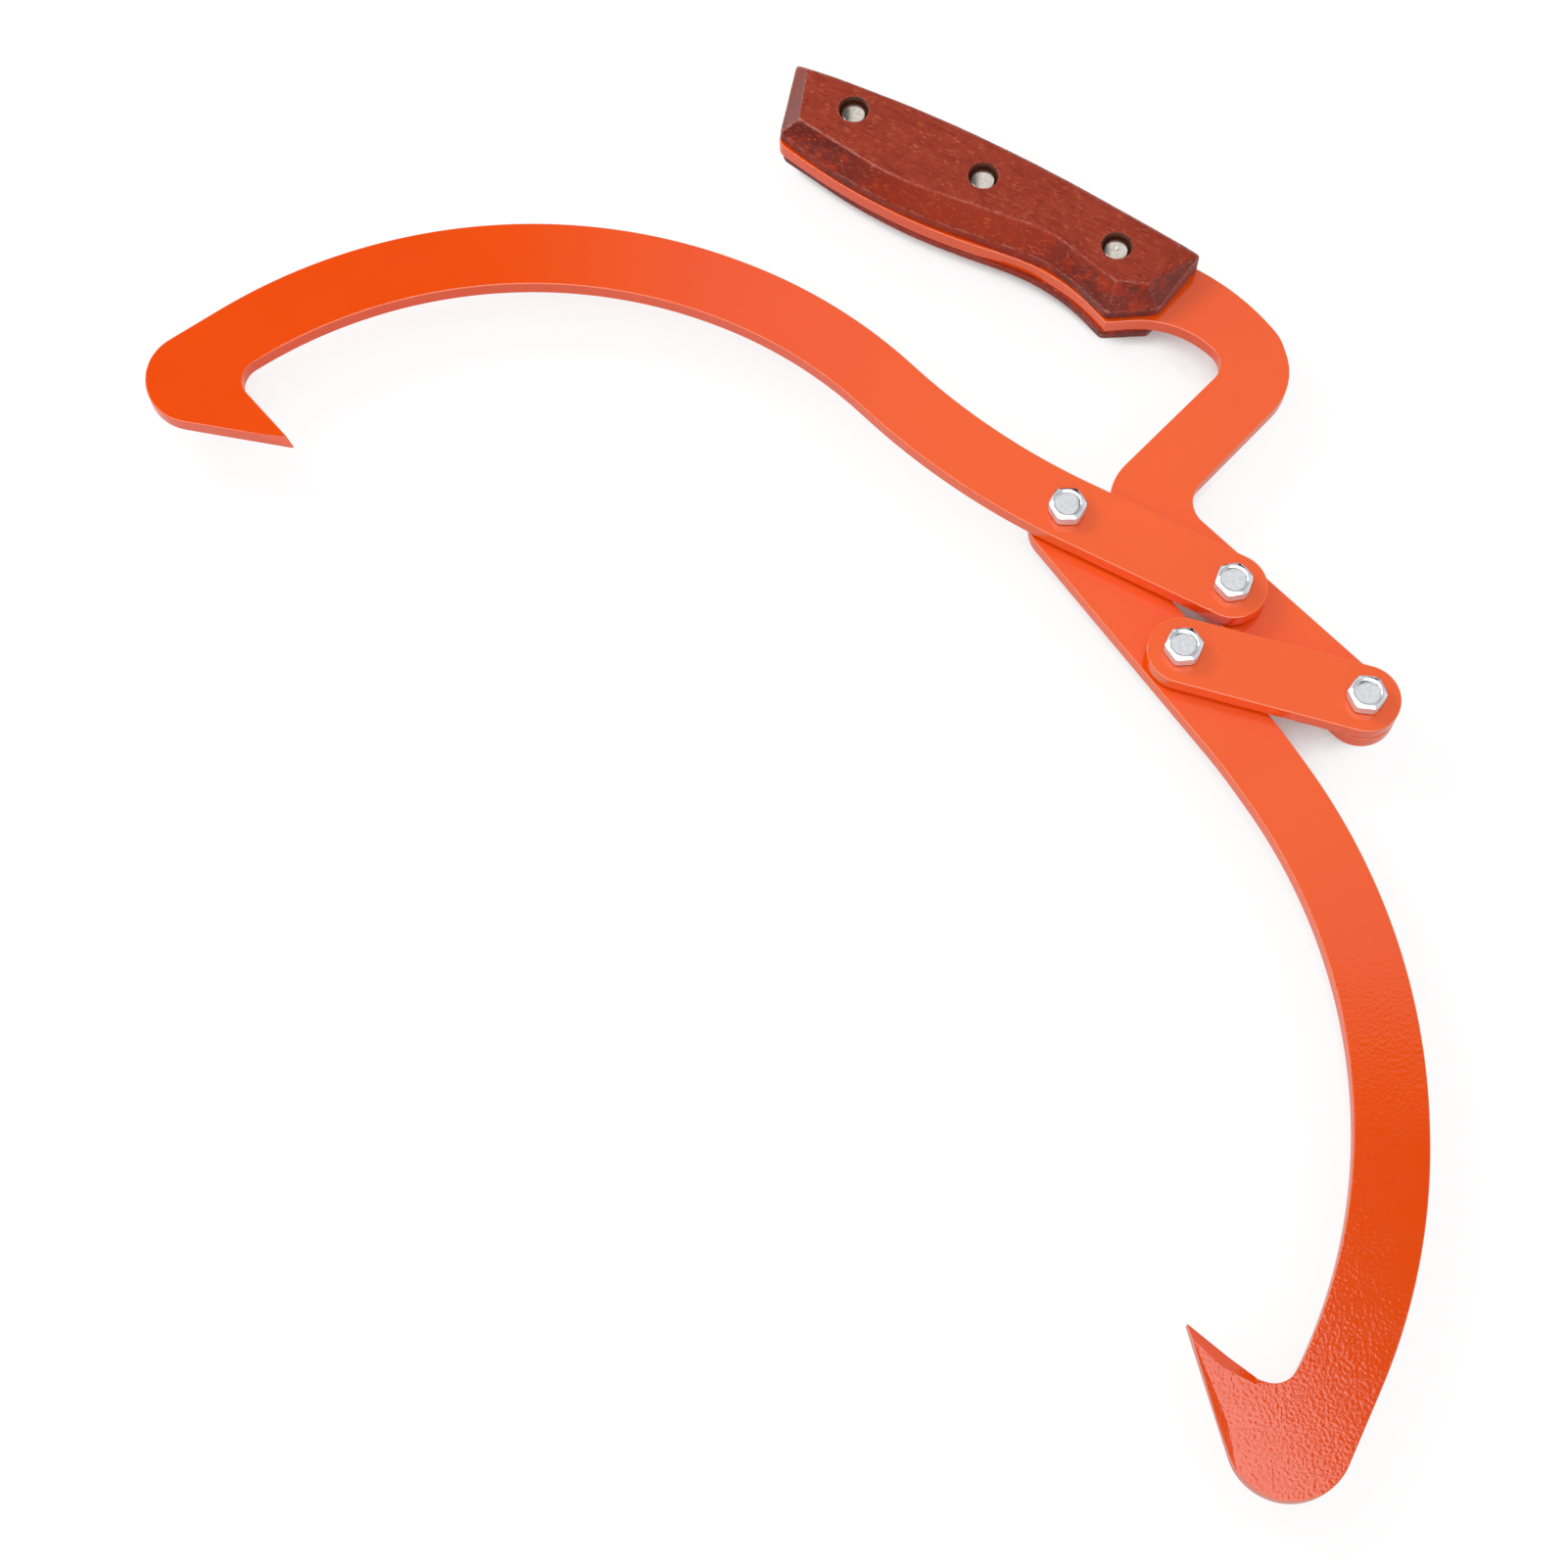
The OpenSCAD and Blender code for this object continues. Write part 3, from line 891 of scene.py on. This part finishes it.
    def _insert(self, low: float, high: float) -> Mould:
        """Shapes the nylon ring, with a soft inner edge where the bolt came through.

        Args:
            low: Height of its lower face.
            high: Height of its upper face.

        Returns:
            The mould.
        """
        rings: list[Ring] = [
            (self.bore, low + 0.25), (self.bore + 0.08, low + 0.08), (self.bore + 0.25, low),
            (self.insert, low), (self.insert, high), (self.bore + 0.1, high), (self.bore, high - 0.1),
            (self.bore, low + 0.25),
        ]
        return Mould.turned(self.centre, rings, parts=64)


@dataclass
class Rivet:
    """A rivet through the grip: a pin with a domed head, and the sleeve that it is pressed into.

    Attributes:
        number: Its number in the nodes.
        head: Radius of both heads.
        head_height: Height of the heads.
        dome: Radius of the heads' domes.
        dome_rings: Radii of the rings that shape the domes.
        rim: Radius of the heads' rounded rims.
        sides: Number of sides that stand for their circles.
        pin: Radius of the pin.
        sleeve: Outer radius of the sleeve.
        dimple: Depth of the punch mark in the front head.
        dimple_reach: Radius of that mark.
    """

    number: int
    head: float = 4.1
    head_height: float = 1.5
    dome: float = 28.0
    dome_rings: tuple[float, ...] = (3.7, 3.2, 2.6, 2.0, 1.4, 0.9, 0.6, 0.35, 0.15, 0.0)
    rim: float = 0.25
    sides: int = 72
    pin: float = 1.75
    sleeve: float = 2.5
    dimple: float = 0.0
    dimple_reach: float = 0.6

    def build(self, steel: bpy.types.Material) -> None:
        """Makes the pin and the sleeve.

        Args:
            steel: Their material.
        """
        low, high = span(f"grip_rivet_{self.number}")
        seat = high.z - self.head_height
        rings: list[Ring] = [(self.pin - 0.2, low.z), (self.pin, low.z + 0.2), (self.pin, seat)]
        rings += self._crown(seat, 1)
        self._cast(f"grip_rivet_{self.number}", (low + high) / 2, rings, steel)
        low, high = span(f"rivet_sleeve_{self.number}")
        seat = low.z + self.head_height
        bore = self.pin + 0.05
        rings = [
            (bore, seat - 0.5), (bore, high.z - 0.15), (bore + 0.15, high.z), (self.sleeve - 0.1, high.z),
            (self.sleeve, high.z - 0.1), (self.sleeve, seat),
        ]
        rings += self._crown(seat, -1)
        self._cast(f"rivet_sleeve_{self.number}", (low + high) / 2, rings, steel)

    def _cast(self, node: str, middle: Vector, rings: list[Ring], steel: bpy.types.Material) -> None:
        """Makes one half of the rivet from its rings."""
        half = Mould.turned(middle, rings, parts=self.sides)
        half.cast(f"{node}_set", Body.HANDLE, Slot.RIVET, steel, [node])

    def _crown(self, seat: float, up: int) -> list[Ring]:
        """Gives the rings of a domed head.

        Args:
            seat: Height of the face that it rests on.
            up: 1 for a head that faces up, -1 for one that faces down.

        Returns:
            The rings from the seat to the middle of the dome.
        """
        flat, rim = self.head - self.rim, self.rim
        edge = self._dome_height(flat)
        rings: list[Ring] = [(self.head - 0.12, seat), (self.head, seat + up * 0.12)]
        rings += [
            (flat + rim * math.cos(turn), seat + up * (edge - rim + rim * math.sin(turn)))
            for turn in (0.0, 0.4, 0.8, 1.2)
        ]
        for reach in self.dome_rings:
            sunk = self.dimple * max(0.0, 1 - (reach / self.dimple_reach) ** 2) if up > 0 else 0.0
            rings.append((reach, seat + up * (self._dome_height(reach) - sunk)))
        return rings

    def _dome_height(self, reach: float) -> float:
        """Returns how high the dome stands above the head's seat at a radius."""
        return self.head_height - self.dome + math.sqrt(self.dome ** 2 - reach ** 2)


@dataclass
class Grip:
    """The two wooden scales, rounded off by sanding, and their rivets.

    Attributes:
        voxel: Size of the cells that the scales are worked in, in millimetres.
        passes: Number of sanding passes.
        waver: How far the sanded faces fall below their planes, in millimetres.
        hole: Radius of the rivets' holes.
        hole_depth: How far out from the plate the holes' walls get painted shade, in millimetres.
        seam: How far out from the plate the scales stay as they were sawn, in millimetres.
        plate_middle: Height of the middle of the plate between the scales, in millimetres.
        along: Direction of the grip.
        rear: Direction of its straight back.
    """

    voxel: float = 0.5
    passes: int = 6
    waver: float = 0.22
    hole: float = 5.0
    hole_depth: float = 11.65
    seam: float = 0.8
    plate_middle: float = 15.0
    along: Vector = Vector((math.cos(math.radians(-31)), math.sin(math.radians(-31)), 0.0))
    rear: Vector = Vector((math.sin(math.radians(31)), math.cos(math.radians(31)), 0.0))

    def build(self, wood: bpy.types.Material, steel: bpy.types.Material) -> None:
        """Makes the scales and the rivets.

        Args:
            wood: Material of the scales.
            steel: Material of the rivets.
        """
        rivets = [Rivet(1), Rivet(2), Rivet(3, dimple=0.18)]
        corners = [span(f"grip_rivet_{rivet.number}") for rivet in rivets]
        self.middles = [((low + high) / 2).xy for low, high in corners]
        for side in ("front", "back"):
            self._scale(f"grip_scale_{side}", wood)
        for rivet in rivets:
            rivet.build(steel)

    def _scale(self, node: str, wood: bpy.types.Material) -> None:
        """Sands one scale out of its node's block.

        Args:
            node: The scale's node.
            wood: Its material.
        """
        block = bpy.data.objects.new("block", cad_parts[node].data.copy())
        bpy.context.scene.collection.objects.link(block)
        merge = block.modifiers.new("merge", "WELD")
        merge.merge_threshold = DOUBLES
        cells = block.modifiers.new("cells", "REMESH")
        cells.mode = "VOXEL"
        cells.voxel_size = self.voxel * MM
        mould = Mould()
        mould.bm.from_object(block, bpy.context.evaluated_depsgraph_get())
        bpy.data.objects.remove(block)
        self._sand(mould.bm, span(node))
        mould.cast(f"{node}_sanded", Body.HANDLE, Slot.WOOD, wood, [node], 80.0)

    def _sand(self, bm: bmesh.types.BMesh, corners: tuple[Vector, Vector]) -> None:
        """Rounds the arrises, lets the faces waver and marks arrises, slopes, ends, a painted highlight along
        the back's edge and the holes' painted shade.

        Args:
            bm: The scale in cells.
            corners: The scale's lowest and highest corners in millimetres.
        """
        layers = bm.verts.layers.float
        worn, slope, cut_end_and_highlight, hole = (layers.new(name) for name in ("worn", "slope", "cut_end_and_highlight", "hole"))
        before = {vert: vert.co.copy() for vert in bm.verts}
        for _ in range(self.passes):
            bmesh.ops.smooth_vert(
                bm, verts=bm.verts, factor=0.5, use_axis_x=True, use_axis_y=True, use_axis_z=True
            )
        bm.normal_update()
        inner = corners[0].z if corners[0].z > self.plate_middle else corners[1].z
        for vert in bm.verts:
            place, normal = vert.co / MM, vert.normal
            taken = (before[vert] - vert.co).dot(normal) / MM
            depth = abs(place.z - inner)
            nearest = min((place.xy - middle).length for middle in self.middles)
            # The holes' walls are marked for painted shade.
            vert[hole] = 1.0 if nearest < self.hole + 0.25 and depth < self.hole_depth else 0.0
            at_hole = nearest < self.hole + 1.2
            vert[worn] = (0.35 if at_hole else 1.0) * rise(taken, 0.035, 0.08) if depth > self.seam else 0.0
            vert[slope] = 1.0 - rise(abs(normal.z), 0.8, 0.15)
            outward = normal.dot(self.along)
            end = max(rise(-outward, 0.22, 0.18), rise(outward, 0.5, 0.6))
            # Painted highlight along the back's edge, stored with the cut ends.
            back_edge_highlight = rise(taken, 0.02, 0.06) * rise(normal.dot(self.rear), 0.1, 0.15)
            vert[cut_end_and_highlight] = 0.0 if at_hole else max(end, back_edge_highlight)
            if depth > self.seam and nearest > self.hole + 0.6:
                level = noise.noise(place / 15.0) * 0.5 + 0.5
                vert.co -= normal * (self.waver * level * rise(depth, self.seam, 2.0)) * MM


@dataclass
class Studio:
    """Floor, lights, sky and camera.

    Attributes:
        target: What the camera looks at, in millimetres.
        eye: Where it stands, in millimetres.
        field_of_view: Its angle of view in degrees.
        sky_level: Strength of the sky's light on the tongs.
        floor_tone: Paleness of the floor.
        floor_seen: Share of the floor that is plain white to the camera.
        floor_mirrored: Share of it that is plain white in gloss.
        shelter: Reach in millimetres within which the tongs hide the floor's white, a painted shade in the
            gaps between them.
    """

    target: Point = (7.7, -17.0, 12.0)
    eye: Point = (7.7, -366.4, 922.2)
    field_of_view: float = 28.96
    sky_level: float = 0.8
    floor_tone: float = 0.74
    floor_seen: float = 0.8
    floor_mirrored: float = 0.3
    shelter: float = 40.0

    def build(self) -> None:
        """Sets the studio up."""
        self.floor()
        self.sky()
        self.lamp("overhead", (-900, 700, 1000), 400, 6)
        self.camera()
        bpy.context.scene.view_settings.view_transform = "Standard"

    def floor(self) -> None:
        """Lays a pale floor that shows white to the camera and in gloss, but keeps the shadow."""
        bm = bmesh.new()
        bmesh.ops.create_grid(bm, x_segments=1, y_segments=1, size=6.0)
        mesh = bpy.data.meshes.new("floor")
        bm.to_mesh(mesh)
        bm.free()
        recipe = Recipe("pale_floor")
        recipe.set(Base_Color=(self.floor_tone,) * 3, Roughness=0.9)
        glow = recipe.node("ShaderNodeEmission", None, {"Color": (1.0, 1.0, 1.0), "Strength": 1.1})
        rays = recipe.node("ShaderNodeLightPath").outputs
        # Painted shade: ambient occlusion takes the white glow off the floor in sheltered gaps, so that its
        # rendered shade shows there.
        shelter = recipe.node("ShaderNodeAmbientOcclusion", {"samples": 8}, {"Distance": self.shelter * MM})
        open_sky = Value(recipe, shelter.outputs["AO"]).step(0.2, 0.4)
        seen = Value(recipe, rays["Is Camera Ray"]) * self.floor_seen * open_sky
        in_gloss = Value(recipe, rays["Is Glossy Ray"]).most(Value(recipe, rays["Is Transmission Ray"]))
        mirrored = in_gloss * self.floor_mirrored
        blend = recipe.node(
            "ShaderNodeMixShader", None,
            {0: seen.most(mirrored), 1: recipe.shader.outputs[0], 2: glow.outputs[0]},
        )
        recipe.link(blend.outputs[0], recipe.output.inputs["Surface"])
        mesh.materials.append(recipe.material)
        floor = bpy.data.objects.new("floor", mesh)
        bpy.context.scene.collection.objects.link(floor)

    def sky(self) -> None:
        """Fills the world with soft light, and with screens and a dark spot that only gloss shows."""
        world = bpy.data.worlds.new("soft_sky")
        bpy.context.scene.world = world
        tree = Tree(world)
        rays = tree.node("ShaderNodeLightPath").outputs
        way = tree.node("ShaderNodeTexCoord").outputs["Generated"]
        across, back, up = (tree.axis(way, letter) for letter in "XYZ")
        far_screen = across.step(-0.1, 0.0) * back.step(0.262, 0.292)
        near_screen = (across + back * 0.46).step(0.249, 0.232) * back.step(0.235, 0.2) * 4.2
        sides = across.step(0.28, 0.4).most(across.step(-0.28, -0.4)) * 0.85
        low = up.step(0.55, 0.35)
        horizon = up.step(0.02, 0.16) + back.step(-0.85, -0.96) * 2
        lit = (far_screen.most(near_screen).most(sides) * (1 - low) + low * horizon) * 0.92 + 0.08
        dark = tree.node("ShaderNodeVectorMath", {"operation": "SUBTRACT"}, {0: way, 1: (0.4, 0.89, 0.2)})
        lit = lit * (tree.distance(dark.outputs[0]).step(0.15, 0.2) * 0.97 + 0.03)
        light, gloss, white = (
            tree.node("ShaderNodeBackground", None, {"Color": (1.0, 1.0, 1.0), "Strength": strength})
            for strength in (self.sky_level, lit, 1.0)
        )
        shiny = tree.node(
            "ShaderNodeMixShader", None, {0: rays["Is Glossy Ray"], 1: light.outputs[0], 2: gloss.outputs[0]}
        )
        blend = tree.node(
            "ShaderNodeMixShader", None, {0: rays["Is Camera Ray"], 1: shiny.outputs[0], 2: white.outputs[0]}
        )
        tree.node("ShaderNodeOutputWorld", None, {"Surface": blend.outputs[0]})

    def lamp(self, name: str, place: Point, size: float, power: float) -> None:
        """Hangs a square soft lamp that faces the tongs.

        Args:
            name: Its name.
            place: Where it hangs, in millimetres.
            size: Its side in millimetres.
            power: Its power in watts.
        """
        data = bpy.data.lights.new(name, "AREA")
        data.shape = "SQUARE"
        data.size = size * MM
        data.energy = power
        lamp = bpy.data.objects.new(name, data)
        lamp.location = Vector(place) * MM
        lamp.rotation_euler = (Vector((0, 0, 0)) - lamp.location).to_track_quat("-Z", "Y").to_euler()
        bpy.context.scene.collection.objects.link(lamp)

    def camera(self) -> None:
        """Sets the camera at the photograph's angle."""
        data = bpy.data.cameras.new("camera")
        data.sensor_width = 36.0
        data.lens = 18.0 / math.tan(math.radians(self.field_of_view / 2))
        data.clip_end = 20.0
        camera = bpy.data.objects.new("camera", data)
        camera.location = Vector(self.eye) * MM
        camera.rotation_euler = (Vector(self.target) - Vector(self.eye)).to_track_quat("-Z", "Y").to_euler()
        bpy.context.scene.collection.objects.link(camera)
        bpy.context.scene.camera = camera


def main() -> None:
    """Builds the tongs and the studio."""
    logging.basicConfig(level=logging.INFO, format="%(name)s: %(message)s")
    coat = PowderCoat("orange_coat").material()
    zinc = PlatedMetal("zinc_bright").material()
    nylon = Nylon("nylon_blue").material()
    wood = StainedWood("wood_stained").material()
    steel = PlatedMetal("rivet_satin", linear(222, 214, 205), linear(188, 180, 172), rough=0.14).material()
    upper_tip = (Vector((-155.8, 100.0, 19.41)), Vector((-154.67, 98.96, 21.5)))
    plates = [
        PaintedPlate("handle_plate", Body.HANDLE),
        PaintedPlate("upper_arm", Body.UPPER, tip=upper_tip),
        PaintedPlate("lower_arm", Body.LOWER),
        PaintedPlate("link_bar", Body.LINK),
    ]
    pivots = [
        PivotSet("arm", Body.UPPER, 0.0),
        PivotSet("grip", Body.HANDLE, 10.0),
        PivotSet("link_arm", Body.LINK, 4.0),
        PivotSet("link_grip", Body.HANDLE, -7.0),
    ]
    for plate in plates:
        plate.build(coat)
    for pivot in pivots:
        pivot.build(zinc, nylon)
    Grip().build(wood, steel)
    Studio().build()


if __name__ == "__main__":
    main()
